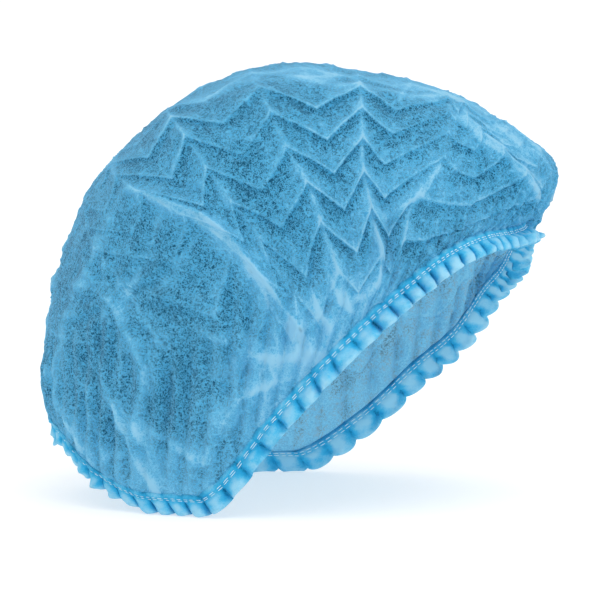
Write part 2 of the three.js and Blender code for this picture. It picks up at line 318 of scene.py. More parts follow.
# Lines in millimetres across and up as seen from the front. Columns: how high the cloth
# stands and over what width, how much denser the web looks on the line and beside it, the
# side that looks denser (1 is left of the path's direction), and the path
foldLines = {
    "big fold": (8, 5, 0.4, 0.4, -1, [
        (-88, 163), (-69, 157), (-50, 151), (-36, 140), (-29, 131), (-21, 120), (-16, 114), (-11, 106),
        (-1, 92),
    ]),
    "end fold": (4, 5, 0.4, 0.15, 1, [(78, 206), (85, 198), (91, 189), (107, 177), (122, 165)]),
    "left bow": (4, 6, 0.3, 0.22, 1,
     [(-113, 114), (-98, 106), (-87, 86), (-80, 72), (-81, 61), (-85, 41), (-79, 26)]),
    "left foot": (4, 5, 0.32, 0.2, 1, [(-109, 81), (-101, 61), (-90, 37), (-81, 12), (-73, 1)]),
    "left spoke": (-2, 3.5, 0.3, 0.12, -1, [(-70, 157), (-79, 132), (-93, 103)]),
    "left spoke, lower": (-2, 4, 0.28, 0.12, 1, [(-51, 143), (-62, 128), (-75, 113), (-92, 101)]),
    "left edge, low": (3, 5, 0.3, 0.15, 1, [(-132, 70), (-128, 52), (-121, 36), (-109, 17), (-93, 4)]),
    "left edge, inner": (1.6, 3, 0.25, 0, 1, [(-116, 79), (-111, 57), (-107, 39), (-101, 22)]),
    "low dart": (1.6, 3, 0.3, 0.1, 1, [(-80, 39), (-70, 33), (-58, 24), (-50, 20)]),
    "cross fold": (5, 6, 0.3, 0.24, -1,
     [(-62, 95), (-49, 90), (-36, 84), (-23, 78), (-11, 76), (-1, 79), (8, 78), (15, 73)]),
    "hem fold": (4.5, 7, 0.3, 0.24, -1,
     [(9, 68), (-2, 66), (-13, 63), (-24, 59), (-32, 54), (-38, 46), (-41, 35), (-49, 22)]),
    "middle chevron": (1.6, 4, 0.3, 0.15, 1, [(40, 144), (51, 153), (63, 161), (72, 175)]),
    "right dart": (1.2, 3, 0.3, 0, 1, [(55, 146), (62, 138), (70, 129)]),
    "middle foot": (2.5, 4, 0.35, 0.15, -1, [(40, 136), (42, 126), (40, 115), (32, 107)]),
    "upper streak": (0.8, 3, 0.25, 0.1, 1, [(43, 224), (64, 217), (81, 210), (100, 199), (120, 183)]),
    "outer streak": (0.8, 3, 0.22, 0.1, 1, [(54, 225), (75, 219), (93, 211), (113, 197), (126, 185)]),
    "inner streak": (-1, 3, 0.2, 0, 1, [(84, 209), (100, 193), (114, 181), (124, 168)]),
    "top line, right": (1.2, 3, 0.3, 0.2, 1, [(-20, 221), (0, 222), (21, 220), (43, 217), (70, 211)]),
    "top line, left": (1, 4, 0.2, 0.1, 1,
     [(-75, 205), (-59, 210), (-45, 213), (-32, 219), (-20, 224), (0, 228), (21, 226)]),
    "shoulder": (2, 6, 0.2, 0.15, 1, [(-88, 163), (-99, 154), (-105, 138), (-108, 123), (-113, 114)]),
    "left seam fold": (2, 5, 0.2, 0.1, 1, [(-113, 114), (-120, 106), (-125, 90), (-129, 68)]),
    "near ridge": (2.5, 4, 0.3, 0.15, -1, [(0, 123), (6, 111), (10, 99), (16, 90)]),
    "near ridge, right": (2, 4, 0.3, 0.15, 1, [(18, 128), (16, 116), (20, 106), (28, 99)]),
}

# the back of the cap has folds of its own: across as above, and up as seen from behind
backFolds = {
    "back fold": (6, 6, 0.35, 0.25, 1, [(-95, 165), (-66, 152), (-30, 126), (-4, 98), (18, 78)]),
    "back low fold": (5, 6, 0.32, 0.2, 1, [(-112, 112), (-98, 84), (-84, 60), (-68, 34)]),
    "back right fold": (3, 5, 0.3, 0.15, 1, [(40, 200), (56, 168), (64, 140), (68, 108)]),
    "back end fold": (3, 5, 0.3, 0.15, -1, [(92, 192), (104, 172), (114, 150)]),
}

# broad rises over the top line, on both sides: from, to (across and up), height and width
topFolds = [(28, 232, 34, 190, -3, 18), (80, 226, 100, 195, 2.5, 16)]

# patches seen from the front where the web lies thicker or thinner, and the last two, broad, where painted
# shade darkens the left side and painted light brightens the right end: middle, half sizes and how much
# denser it looks
densityAndLightPatches = [
    (12, 88, 26, 18, 0.2),
    (-8, 72, 30, 10, 0.14),
    (36, 108, 16, 14, 0.16),
    (-20, 48, 14, 16, 0.22),
    (112, 128, 14, 14, 0.1),
    (-104, 60, 12, 26, -0.1),
    (-60, 40, 16, 22, -0.16),
    (-62, 72, 22, 16, -0.1),
    (-78, 132, 16, 20, -0.12),
    (-10, 204, 30, 9, -0.18),
    (70, 128, 20, 14, -0.12),
    (106, 178, 14, 12, -0.1),
    # painted shade over the left side, and painted light on the right end, as from a light at the upper
    # right
    (-95, 95, 45, 60, -0.17),
    (100, 165, 40, 40, 0.12),
]


def lineField(path, across, up):
    # distance to a broken line, and which side of it a point is on
    best = np.full(across.shape, 1e9)
    side = np.zeros(across.shape)
    for (x0, z0), (x1, z1) in zip(path[:-1], path[1:]):
        runX, runZ = x1 - x0, z1 - z0
        t = np.clip(((across - x0) * runX + (up - z0) * runZ) / (runX**2 + runZ**2), 0, 1)
        awayX, awayZ = across - x0 - t * runX, up - z0 - t * runZ
        distance = np.hypot(awayX, awayZ)
        nearer = distance < best
        best = np.where(nearer, distance, best)
        side = np.where(nearer, np.sign(runX * awayZ - runZ * awayX), side)
    return best, side


def softNoise(points, wavelength, seed, waves=14):
    # a sum of plane waves in random directions, all near one wavelength; about -1 to 1
    draw = np.random.default_rng(seed)
    directions = unit(draw.normal(size=(waves, 3)))
    lengths = wavelength * draw.uniform(0.7, 1.5, waves)
    phases = draw.uniform(0, fullTurn, waves)
    total = np.zeros(points.shape[:-1])
    for direction, length, phase in zip(directions, lengths, phases):
        total += np.sin(points @ direction * fullTurn / length + phase)
    return total / np.sqrt(waves)


# meshes


def makeMesh(name, points, faces, attributes=None):
    # points in millimetres in the maker's own frame; faces are quads or triangles with a
    # repeated corner left out
    mesh = bpy.data.meshes.new(name)
    faces = [tuple(dict.fromkeys(face)) for face in faces.tolist()]
    faces = [face for face in faces if len(face) > 2]
    mesh.from_pydata(((points + frameShift) * mm).tolist(), [], faces)
    for key, values in (attributes or {}).items():
        layer = mesh.attributes.new(key, "FLOAT", "POINT")
        layer.data.foreach_set("value", np.ascontiguousarray(values, dtype=np.float32).ravel())
    mesh.polygons.foreach_set("use_smooth", [True] * len(mesh.polygons))
    mesh.update()
    piece = bpy.data.objects.new(name, mesh)
    bpy.context.scene.collection.objects.link(piece)
    return piece


def ringFaces(lower, upper):
    # quads between two closed rings of corner numbers, facing outwards
    return np.stack([lower, upper, np.roll(upper, -1), np.roll(lower, -1)], -1)


# the hem: one section carried round the rim, with the channel for the elastic inside it

hemForm = {
    "stations": 1440,
    # out from the seam's face, down from the seam, and the size of the ruffle there
    "section": [
        (-0.15, -1.0, 0.5), (0.1, -0.4, 0.4), (0.45, 0.4, 0.5), (0.75, 1.3, 0.6), (0.6, 2.1, 0.5),
        (0.2, 2.7, 0.3), (0.45, 3.2, 0.35), (0.2, 3.8, 0.35), (0.7, 4.6, 0.9), (1.1, 5.6, 1.6),
        (1.35, 7.0, 2.2), (1.45, 8.4, 2.7), (1.3, 9.8, 3.0), (1.0, 11.0, 3.2), (0.6, 12.0, 3.3),
        (0.0, 12.6, 3.3), (-0.6, 12.5, 3.3), (-1.2, 11.7, 3.2), (-1.6, 10.4, 2.8), (-1.9, 9.0, 2.2),
        (-2.5, 7.8, 1.4), (-3.4, 6.8, 0.6), (-4.2, 5.6, 0.3), (-4.35, 4.2, 0.2), (-4.35, 2.4, 0.2),
        (-4.1, 1.1, 0.1), (-3.1, 1.1, 0), (-3.1, 5.9, 0), (-1.3, 5.9, 0), (-1.3, 0.3, 0),
    ],
    "ruffles": 72,  # round the rim
    "crowding": 14,  # the ruffles stand closer on the near side than on the far side
    "overhang": 0.7,  # each puff spreads sideways over its neighbours' valleys
    "drop": 0.8,  # the fold hangs lower at the crest of each ruffle
    "sharpness": 0.85,  # below 1 the ruffles are round puffs with pinched valleys
    "unevenness": 0.45,
    "crumple": 0.3,
    "lean": 0.5,
    "fullRuffle": 3.3,  # the section's largest ruffle
}

# tones of the hem, added to how dense the web looks there
hemLook = {
    "tone": 0.58,
    # painted light on the puffs and painted shade in the pinched valleys, by the seam and lower down
    "seamLightAndShade": 0.12,
    "puffLightAndShade": 0.4,
    "edge": 0.26,
    "stitchRows": (2.7, 3.8),
    "stitchLine": -0.1,
    "stitchWidth": 0.1**0.5,
    "inside": 0.16,  # the inner layer is seen against the light
}


def ruffleWave(angle, down):
    # a rounded cosine, 1 on a puff and -1 in a pinched valley; each puff has its own width,
    # and leans over further down. The second value is the sideways spread from the crest
    ring = np.stack([np.cos(angle), np.sin(angle), 0 * angle], -1) * 100
    shift = 0.16 * softNoise(ring, 26, 31) + 0.2 * softNoise(ring, 60, 32)
    lean = hemForm["lean"] * softNoise(ring, 34, 33) * np.clip(down / 13, 0, 1)
    half = hemForm["ruffles"] / 2 * angle - hemForm["crowding"] / 2 * np.cos(angle) + shift + lean
    return 2 * np.abs(np.cos(half)) ** hemForm["sharpness"] - 1, np.sin(2 * half)


def hemPoint(angle, out, down, ruffle):
    # out along the seam's normal by the ruffle's wave, down against the cap's up
    ring = np.stack([np.cos(angle), np.sin(angle), 0 * angle], -1) * 100
    size = 1 + hemForm["unevenness"] * softNoise(ring, 22, 34)
    wave, spread = ruffleWave(angle, down)
    crumple = hemForm["crumple"] * softNoise(ring + down[..., None], 9, 36)
    out = out + ruffle * size * (wave + crumple)
    down = down + np.where(ruffle > 1, hemForm["drop"] * size * wave, 0)
    alongRim = unit(np.cross(seamNormal(angle), capUp))
    sideways = hemForm["overhang"] * spread * ruffle / hemForm["fullRuffle"]
    place = seamPoint(angle) + out[..., None] * seamNormal(angle) - down[..., None] * capUp
    place = place + sideways[..., None] * alongRim
    place[..., 2] = np.maximum(place[..., 2], 0)
    return place, wave


def hemTones(points, out, down, wave):
    # how dense the hem looks, and how deep its blue: each puff is painted lighter and each pinched
    # valley under the stitches painted darker, deep blue, as painted light and shade; the fold's edge is
    # painted paler where the light comes through, and a stitch line is pressed thin
    puff = smoothStep(down, 4.0, 6.0)
    edge = smoothStep(down, 7.0, 12.6)
    # painted light on each puff and painted shade in its pinched valley
    dense = hemLook["tone"] + hemLook["seamLightAndShade"] * wave * (1 - puff)
    dense += puff * (hemLook["puffLightAndShade"] * wave * (1 - 0.7 * edge) - 0.04 + hemLook["edge"] * edge)
    for row in hemLook["stitchRows"]:
        dense += hemLook["stitchLine"] * bell(down - row, hemLook["stitchWidth"])
    dense += 0.08 * softNoise(points, 14, 35) + 0.07 * softNoise(points, 5, 37)
    dense += hemLook["inside"] * smoothStep(-out, 1.4, 3.4)
    return dense, smoothStep(down, -1.0, 2.5) * (1 - 0.45 * edge)


def hemPiece():
    section = np.array(hemForm["section"])
    turn = np.arange(hemForm["stations"]) / hemForm["stations"] * fullTurn
    angle = np.ones((len(section), 1)) * turn
    out, down, ruffle = (np.repeat(column[:, None], len(turn), 1) for column in section.T)
    points, wave = hemPoint(angle, out, down, ruffle)
    corner = np.arange(angle.size).reshape(angle.shape)
    faces = np.concatenate([ringFaces(upper, lower) for lower, upper in zip(corner, np.roll(corner, -1, 0))])
    dense, deep = hemTones(points, out, down, wave)
    return makeMesh("hem_gathered", points.reshape(-1, 3), faces, {"dense": dense, "deep": deep})


# the crown

crownCloth = {
    "tone": 0.3,  # how dense the flat web looks
    "backTone": 0.1,
    "foldTone": 1.15,  # how much denser the drawn folds look
    "foldStart": 24,  # mm from its first point in which a drawn fold grows
    "endReach": 14,  # mm from both ends of the top line where the cloth stays smooth
    "endShare": 0.85,
}
gathers = {
    "count": 72,
    "atSeam": 0.2,  # height at the seam, and how fast it grows above it
    "slope": 75,
    "reach": 0.075,  # share of the way up over which they die away
    "longHeight": 0.8,
    # painted light on the puffs of the gathers and painted shade in their valleys
    "puffLightValleyShade": 0.13,
    "longTone": 0.06,
    "seamTone": 0.2,
}
# the fan at the tied end: its middle as seen from the front, and the reach of its rays in mm
fan = {"pole": (-97, 105), "rays": 11, "inner": 14, "outer": 62, "height": 1.4, "tone": 0.14}
# loose creases; where several cross they stand no higher than "most"
creases = {"count": 380, "height": 0.4, "tone": 0.2, "most": 1.3}
# noises of the small crumples: wavelength, seed and size; then the net's wavelength and seed
crumples = {
    "relief": ((22, 11, 0.35), (9, 12, 0.16)),
    "tones": ((30, 14, 0.05), (12, 15, 0.04)),
    "net": ((34, 18), (20, 19)),
    "netWidth": 0.16,
    "netHeight": 0.8,
    "netTone": 0.18,
    "netOnFront": 0.45,
}


def fadeAtEnds(level, fade):
    # 0 below the first value, 1 from the second above it, and 0 again over the third at the top
    low, rise, fall = fade
    return np.clip((level - low) / rise, 0, 1) * np.clip((1 - level) / fall, 0, 1)


def crownSpot(level, place, back):
    # for each level and station: where it lies on the smooth form, and what several of the
    # fields below need. "up" is read from the front and "upBack" from behind
    rise = pleats["rise"] * fadeAtEnds(level, pleats["fade"]) * kinkShape(place)
    share = np.clip(level + rise, 0, 1)
    angle = stationAngle(place, share, back)
    point = smoothPoint(angle, share)
    nearLine = np.minimum(place.astype(int), lastKink - 1)
    sector = tableAngle(kinkFront, nearLine + 1.0, share) - tableAngle(kinkFront, nearLine + 0.0, share)
    sector = np.where(back, 180 / lastKink, sector)
    around = smoothPoint(angle + slopeStep, share) - smoothPoint(angle - slopeStep, share)
    width = np.radians(sector) * np.linalg.norm(around, axis=-1) / (2 * slopeStep)
    leftEnd = smoothStep(place, 12.5, 15.5) * smoothStep(level, 0.5, 0.75)
    upright, tilted = point[..., 2] * np.cos(frontTilt), point[..., 1] * np.sin(frontTilt)
    return SimpleNamespace(
        level=level, place=place, back=back, share=share, angle=angle, point=point,
        sectorWidth=np.maximum(width, 2),
        frontStrength=np.interp(place, np.arange(lastKink + 1), pleats["frontStrength"]),
        leftFade=1 - pleats["leftFade"] * leftEnd,
        patchy=softNoise(point, 75, 3),
        frontShare=smoothStep(np.sin(angle), -0.1, 0.25),
        seamFade=np.clip(share / 0.06, 0, 1),
        across=point[..., 0], up=upright + tilted, upBack=upright - tilted,
    )


# each field gives how far the cloth stands out and how much denser it looks


def pleatField(spot):
    # pressed pleats: each falls away under its crest and swells to the next crest below
    shareIn = np.clip(spot.share, slopeStep, 1 - slopeStep)
    wayUp = smoothPoint(spot.angle, shareIn + slopeStep) - smoothPoint(spot.angle, shareIn - slopeStep)
    rimToTop = np.linalg.norm(wayUp, axis=-1) / (2 * slopeStep)
    strength = np.where(spot.back, pleats["backStrength"] * spot.leftFade, spot.frontStrength)
    strength = strength * fadeAtEnds(spot.level, pleats["fade"])
    strength = strength * np.minimum(rimToTop / pleats["fullLength"], 1)
    strength = strength * np.clip(0.95 + 0.3 * spot.patchy, 0.5, 1.2)
    row = spot.level * pleats["rowsEach"] * pleats["count"] - pleats["firstRow"]
    phase = np.mod(row / pleats["rowsEach"] + 1e-6, 1)
    swell = 1 - phase ** pleats["fall"] * (1 - smoothStep(phase, pleats["swellFrom"], 1.0))
    (crestWidth, crestTone), (paintedLightWidth, paintedLightTone) = pleats["crest"], pleats["slope"]
    dense = crestTone * bell(np.minimum(phase, 1 - phase), crestWidth)
    # painted light fading up from each crest, then painted shade under the next crest up
    dense += paintedLightTone * np.exp(-phase / paintedLightWidth)
    dense += pleats["paintedShadeUnderCrest"] * smoothStep(phase, 0.4, 0.85) * (1 - smoothStep(phase, 0.92, 1.0))
    return pleats["height"] * strength * (swell - pleats["sunk"]), strength * dense


def kinkField(spot):
    # kink lines: ridges stand up and valleys sink, both with a dense line
    ridgeAway = np.abs(spot.place - 2 * np.round(spot.place / 2))
    strength = np.where(spot.back, kinks["backStrength"] * spot.leftFade, np.sqrt(spot.frontStrength))
    strength = strength * fadeAtEnds(spot.level, kinks["fade"]) * np.clip(0.9 + 0.4 * spot.patchy, 0.2, 1.2)
    narrow = np.clip(spot.sectorWidth / kinks["fullWidth"], 0.35, 1)
    dense = np.zeros(spot.share.shape)
    for away, lines in ((ridgeAway, kinks["ridgeLines"]), (1 - ridgeAway, kinks["valleyLines"])):
        for width, tone in lines:
            dense += tone * strength * bell(away * spot.sectorWidth, width)
    return kinks["height"] * strength * narrow * (1 - 2 * ridgeAway**0.75), dense


def gatherField(spot):
    # gathers by the seam, uneven, running into longer ones that die away higher up
    uneven = softNoise(spot.point, 40, 5)
    wave, _ = ruffleWave(spot.angle, 0 * spot.angle)
    rise = gathers["slope"] * spot.share * np.clip(1 + 0.5 * uneven, 0.3, 1.6)
    relief = (gathers["atSeam"] + rise) * np.exp(-spot.share / gathers["reach"]) * wave
    longWave = np.cos(gathers["count"] / 2 * spot.angle + 2.2 * uneven)
    longRise = smoothStep(spot.share, 0.03, 0.12) * np.exp(-np.maximum(spot.share - 0.1, 0) / 0.09)
    relief += gathers["longHeight"] * longRise * longWave
    # painted light on each puff and painted shade in each pinched valley
    dense = gathers["puffLightValleyShade"] * np.exp(-spot.share / 0.07) * wave
    dense += gathers["longTone"] * longRise * np.maximum(longWave, 0) ** 3
    dense += gathers["seamTone"] * np.exp(-spot.share / 0.04)
    return relief, dense


def foldField(spot):
    # folds drawn on the front and on the back; each grows from its first point
    tone = crownCloth["foldTone"] * np.clip(0.85 + 0.3 * softNoise(spot.point, 22, 17), 0.4, 1.2)
    relief = np.zeros(spot.share.shape)
    dense = np.zeros(spot.share.shape)
    onFront = (spot.frontShare, spot.up, foldLines)
    onBack = (1 - spot.frontShare, spot.upBack, backFolds)
    for shown, up, folds in (onFront, onBack):
        for height, width, line, glow, side, path in folds.values():
            away, hand = lineField(path, spot.across, up)
            startX, startZ = path[0]
            fromStart = np.hypot(spot.across - startX, up - startZ)
            grown = smoothStep(fromStart, 0, crownCloth["foldStart"])
            ridge = 0.6 * bell(away, width) + 0.4 * np.exp(-away / width)
            relief += shown * spot.seamFade * height * ridge * (0.35 + 0.65 * grown)
            band = 0.75 * bell(away, 1.2) + 0.4 * bell(away, 4)
            onSide = np.clip(0.5 + hand * side * np.minimum(away, 1.5) / 3, 0, 1)
            dense += shown * tone * line * band * (0.4 + 0.6 * grown)
            dense += shown * tone * glow * grown * onSide * np.exp(-away / 9)
    return relief, dense


def broadField(spot):
    # broad rises over the top line, and patches where the web lies thicker or thinner or where light and
    # shade are painted
    height = spot.point[..., 2]
    relief = np.zeros(spot.share.shape)
    for x0, z0, x1, z1, rise, width in topFolds:
        runX, runZ = x1 - x0, z1 - z0
        run = np.hypot(runX, runZ)
        along = ((spot.across - x0) * runX + (height - z0) * runZ) / run
        beside = ((spot.across - x0) * runZ - (height - z0) * runX) / run
        past = np.maximum(np.maximum(-along, along - run), 0)
        relief += rise * bell(beside, width) * bell(past, 1.5 * width)
    dense = crownCloth["backTone"] * (1 - spot.frontShare)
    for x, z, halfX, halfZ, amount in densityAndLightPatches:
        dense += spot.frontShare * amount * bell(spot.across - x, halfX) * bell(spot.up - z, halfZ)
    return relief, dense


def fanField(spot):
    # the fan of pleats round the tied end
    runX, runZ = spot.across - fan["pole"][0], spot.up - fan["pole"][1]
    reach = np.hypot(runX, runZ)
    ray = np.cos(fan["rays"] * np.arctan2(runZ, runX) + 1.5 * softNoise(spot.point, 60, 9))
    rayShare = np.minimum(reach / fan["inner"], 1) * np.maximum(1 - reach / fan["outer"], 0)
    rayShare = rayShare * spot.frontShare
    return fan["height"] * rayShare * ray, fan["tone"] * rayShare * np.maximum(ray, 0) ** 6


def creaseField(spot):
    # loose creases: short lines that follow the cloth, at random
    draw = np.random.default_rng(21)
    loose = np.zeros(spot.share.shape)
    signedPlace = np.where(spot.back, -spot.place, spot.place)
    for _ in range(creases["count"]):
        middle, heightUp = draw.uniform(-lastKink, lastKink), draw.uniform(0.02, 0.98)
        slope, reachUp = draw.normal(0, 7), draw.uniform(0.03, 0.13)
        depth, thick = draw.uniform(0.2, 1), draw.uniform(0.6, 1.2)
        lift = spot.level - heightUp
        away = (signedPlace - middle - slope * lift) * spot.sectorWidth / np.hypot(1, slope * 0.06)
        loose += depth * np.exp(-((away / thick) ** 2) - (lift / reachUp) ** 4)
    loose = np.minimum(loose, creases["most"])
    return creases["height"] * spot.seamFade * loose, creases["tone"] * loose


def crumpleField(spot):
    # small crumples, and a net of them where a noise crosses zero, strongest on the back
    relief = sum(size * softNoise(spot.point, wave, seed) for wave, seed, size in crumples["relief"])
    dense = sum(size * softNoise(spot.point, wave, seed) for wave, seed, size in crumples["tones"])
    netShare = np.where(spot.back, 1.0, crumples["netOnFront"])
    for wavelength, seed in crumples["net"]:
        net = netShare * bell(softNoise(spot.point, wavelength, seed), crumples["netWidth"])
        relief = relief + crumples["netHeight"] * net
        dense = dense + crumples["netTone"] * spot.seamFade * net
    return spot.seamFade * relief, dense


crownFieldList = (
    pleatField, kinkField, gatherField, foldField, broadField, fanField, creaseField, crumpleField,
)


def crownFields(level, place, back):
    # for each level and station: the smooth point, its normal, how far the cloth stands out
    # and how dense the web looks there
    spot = crownSpot(level, place, back)
    relief = np.zeros(level.shape)
    dense = np.full(level.shape, crownCloth["tone"])
    for field in crownFieldList:
        addedRelief, addedDense = field(spot)
        relief += addedRelief
        dense += addedDense
    for end in (0.0, np.pi):
        tip = smoothPoint(np.array(end), np.array(1.0))
        away = np.linalg.norm(spot.point - tip, axis=-1)
        relief *= 1 - crownCloth["endShare"] * bell(away, crownCloth["endReach"])
    return spot.point, smoothNormal(spot.angle, spot.share), relief, dense


hemTuck = {"down": 1.1, "inwards": 0.45}  # mm by which the sheet's edge goes into the hem


def crownPiece():
    # one continuous sheet; its lower edge is tucked into the hem
    rows = pleats["count"] * pleats["rowsEach"]
    level = np.linspace(0, 1, rows + 1)[:, None] * np.ones(stations)
    place = np.ones((rows + 1, 1)) * kinkPlace
    back = np.ones((rows + 1, 1), bool) & isBack
    point, normal, relief, dense = crownFields(level, place, back)
    mirrored = (stations - np.arange(stations)) % stations
    for values in (point, normal, relief, dense):  # the top line is shared by front and back
        values[-1] = (values[-1] + values[-1][mirrored]) / 2
    points = point + unit(normal) * relief[..., None]
    points[0] -= hemTuck["down"] * capUp + hemTuck["inwards"] * unit(normal)[0]
    corner = np.arange(level.size).reshape(level.shape)
    corner[-1] = corner[-1][np.minimum(np.arange(stations), mirrored)]
    faces = np.concatenate([ringFaces(corner[row], corner[row + 1]) for row in range(rows)])
    used = np.unique(faces)  # the top line's second copy of each corner has no faces
    renumber = np.zeros(level.size, int)
    renumber[used] = np.arange(len(used))
    tones = {"dense": dense.ravel()[used]}
    return makeMesh("crown_web", points.reshape(-1, 3)[used], renumber[faces], tones)


# two rows of stitches through the hem, outside and inside

stitches = {
    "count": 236,  # to a row
    "rows": [(2.65, 0.28), (3.8, 0.28), (2.2, -4.4), (3.8, -4.4)],  # down, and out from the seam
    "share": 0.74,  # of the pitch that the thread lies on the surface
    "thread": 0.2,  # radius
    "sides": 6,
    # from one end of a stitch to the other: place, girth and how deep the needle draws it in
    "along": [-1, -0.8, -0.3, 0.3, 0.8, 1],
    "girth": [0.15, 0.8, 1, 1, 0.8, 0.15],
    "sink": [0.35, 0.12, 0, 0, 0.12, 0.35],
    "lift": 0.1,  # mm out from the hem's face
    "ruffleOutside": 0.32,  # the size of the ruffle under the rows, as in the hem's section
    "ruffleInside": 0.2,
}


def stitchPiece():
    # each stitch is a short rod: rings of corners along it, thin at both ends, and two quads
    # to close each end
    along, girth, sink = (np.array(stitches[column]) for column in ("along", "girth", "sink"))
    count = stitches["count"]
    draw = np.random.default_rng(41)
    turn = np.arange(stitches["sides"]) / stitches["sides"] * fullTurn
    points, faces, start = [], [], 0
    for down, out in stitches["rows"]:
        middle = (np.arange(count) + draw.uniform(-0.08, 0.08, count)) / count * fullTurn
        half = fullTurn / count / 2 * stitches["share"] * draw.uniform(0.85, 1.1, count)
        angle = middle[:, None] + half[:, None] * along
        level = down + 0.08 * draw.normal(size=(count, 1)) + 0 * angle
        hand = 1 if out > 0 else -1
        ruffle = stitches["ruffleOutside" if hand > 0 else "ruffleInside"] + 0 * angle
        centre, _ = hemPoint(angle, out - hand * (sink - stitches["lift"]) + 0 * angle, level, ruffle)
        radius = stitches["thread"] * girth[None, :, None, None]
        outward = hand * seamNormal(angle)[:, :, None, :]
        ring = np.cos(turn)[:, None] * outward + np.sin(turn)[:, None] * capUp
        block = centre[:, :, None, :] + radius * ring
        number = start + np.arange(block[..., 0].size).reshape(block.shape[:3])
        lower, upper = number[:, :-1], number[:, 1:]
        sides = np.stack([lower, np.roll(lower, -1, 2), np.roll(upper, -1, 2), upper], -1)
        faces.append(sides.reshape(-1, 4)[:, ::-hand])
        for end, order in ((0, 1), (-1, -1)):
            cap = number[:, end, ::order * hand]
            faces += [cap[:, :4], cap[:, [3, 4, 5, 0]]]
        points.append(block.reshape(-1, 3))
        start += block[..., 0].size
    points = np.concatenate(points)
    points[:, 2] = np.maximum(points[:, 2], 0)
    return makeMesh("hem_stitching", points, np.concatenate(faces))


crown = crownPiece()
print("crown:", len(crown.data.polygons), "faces")
hem = hemPiece()
print("hem:", len(hem.data.polygons), "faces")
stitching = stitchPiece()
print("stitching:", len(stitching.data.polygons), "faces")

# the materials


def linear(hexColour):
    # an sRGB hex value as linear red, green, blue and alpha
    channels = np.array([int(hexColour[k:k + 2], 16) for k in (1, 3, 5)]) / 255
    values = np.where(channels <= 0.04045, channels / 12.92, ((channels + 0.055) / 1.055) ** 2.4)
    return (*values.tolist(), 1.0)


def addNode(tree, kind, inputs=None, out=None, stops=None, **settings):
    # a node with its settings; each input is a value or another node's output. With out
    # given, that output is returned instead of the node
    node = tree.nodes.new(kind)
    for name, value in settings.items():
        setattr(node, name, value)
    for name, value in (inputs or {}).items():
        if isinstance(value, bpy.types.NodeSocket):
            tree.links.new(value, node.inputs[name])
        else:
            node.inputs[name].default_value = value
    if stops:
        ramp = node.color_ramp
        while len(ramp.elements) < len(stops):
            ramp.elements.new(0.5)
        for element, (position, colour) in zip(ramp.elements, stops):
            element.position = position
            element.color = linear(colour)
    return node if out is None else node.outputs[out]


def newMaterial(name):
    material = bpy.data.materials.new(name)
    material.use_nodes = True
    material.node_tree.nodes.clear()
    return material, material.node_tree


# Spunbond polypropylene: a thin felt of continuous filaments laid at random and welded at
# points. It is matt and sheer, so a flat single layer looks dark and speckled, and every
# fold or gather, with more filaments behind each other, looks paler.
webLook = {
    # tone of the web from its thinnest, speckled places to its thickest folds
    "lit": [
        (0.0, "#0d4a5e"), (0.2, "#11607c"), (0.35, "#147a9f"), (0.5, "#1f98c9"),
        (0.7, "#5ac2ea"), (1.0, "#b4ebff"),
    ],
    "deepLit": [
        (0.0, "#006a98"), (0.25, "#008cbe"), (0.5, "#1cb0e6"), (0.75, "#4cc6f2"), (1.0, "#9ee0fa"),
    ],
    # the same with the light behind it: thick places let less through
    "passing": [
        (0.0, "#4a86a3"), (0.2, "#84b6cc"), (0.36, "#b2dcec"), (0.6, "#80c4e2"), (1.0, "#7cc4e2"),
    ],
    "fibreSpacing": 2.0,  # mm; real filaments are 0.02 mm and would not show
    # turn, stretch, size, and how thin its lines are for that size
    "fibreLayers": [
        ((0.3, 0.2, 0.1), (1, 1, 1), 1.0, 13),
        ((0.9, 1.2, 0.4), (1, 1.6, 1), 0.75, 13),
        ((1.9, 0.5, 1.1), (1, 1, 1.3), 3.2, 42),
    ],
    "fibreMiddle": 0.4,
    "mostTone": 1.15,  # the denser the web, the less its fibres show
    "cloudSize": 6,
    "cloudTone": 0.2,
    "crownSpeckle": 0.92,
    "hemSpeckle": 0.35,
    "roughness": 0.82,
    "sheen": 0.12,
    "through": 0.49,  # share of the light that passes through one layer
    "hemThrough": 0.22,
}


def fibreField(tree):
    # a thin curved line wherever a noise crosses its middle; three such noises, each stretched
    # its own way, cross like filaments
    place = addNode(tree, "ShaderNodeTexCoord", out="Object")
    field = 0.0
    for turn, stretch, size, thinness in webLook["fibreLayers"]:
        inputs = {"Vector": place, "Rotation": turn, "Scale": stretch}
        turned = addNode(tree, "ShaderNodeMapping", inputs, out=0)
        scale = 1 / (webLook["fibreSpacing"] * mm * size)
        inputs = {"Vector": turned, "Scale": scale, "Detail": 1.0, "Roughness": 0.5, "Distortion": 0.8}
        noise = addNode(tree, "ShaderNodeTexNoise", inputs, out=0)
        offset = addNode(tree, "ShaderNodeMath", {0: noise, 1: 0.5}, out=0, operation="SUBTRACT")
        away = addNode(tree, "ShaderNodeMath", {0: offset}, out=0, operation="ABSOLUTE")
        inputs = {0: away, 1: -thinness, 2: 1.0}
        line = addNode(tree, "ShaderNodeMath", inputs, out=0, operation="MULTIPLY_ADD", use_clamp=True)
        field = addNode(tree, "ShaderNodeMath", {0: field, 1: line}, out=0, operation="MAXIMUM")
    return field


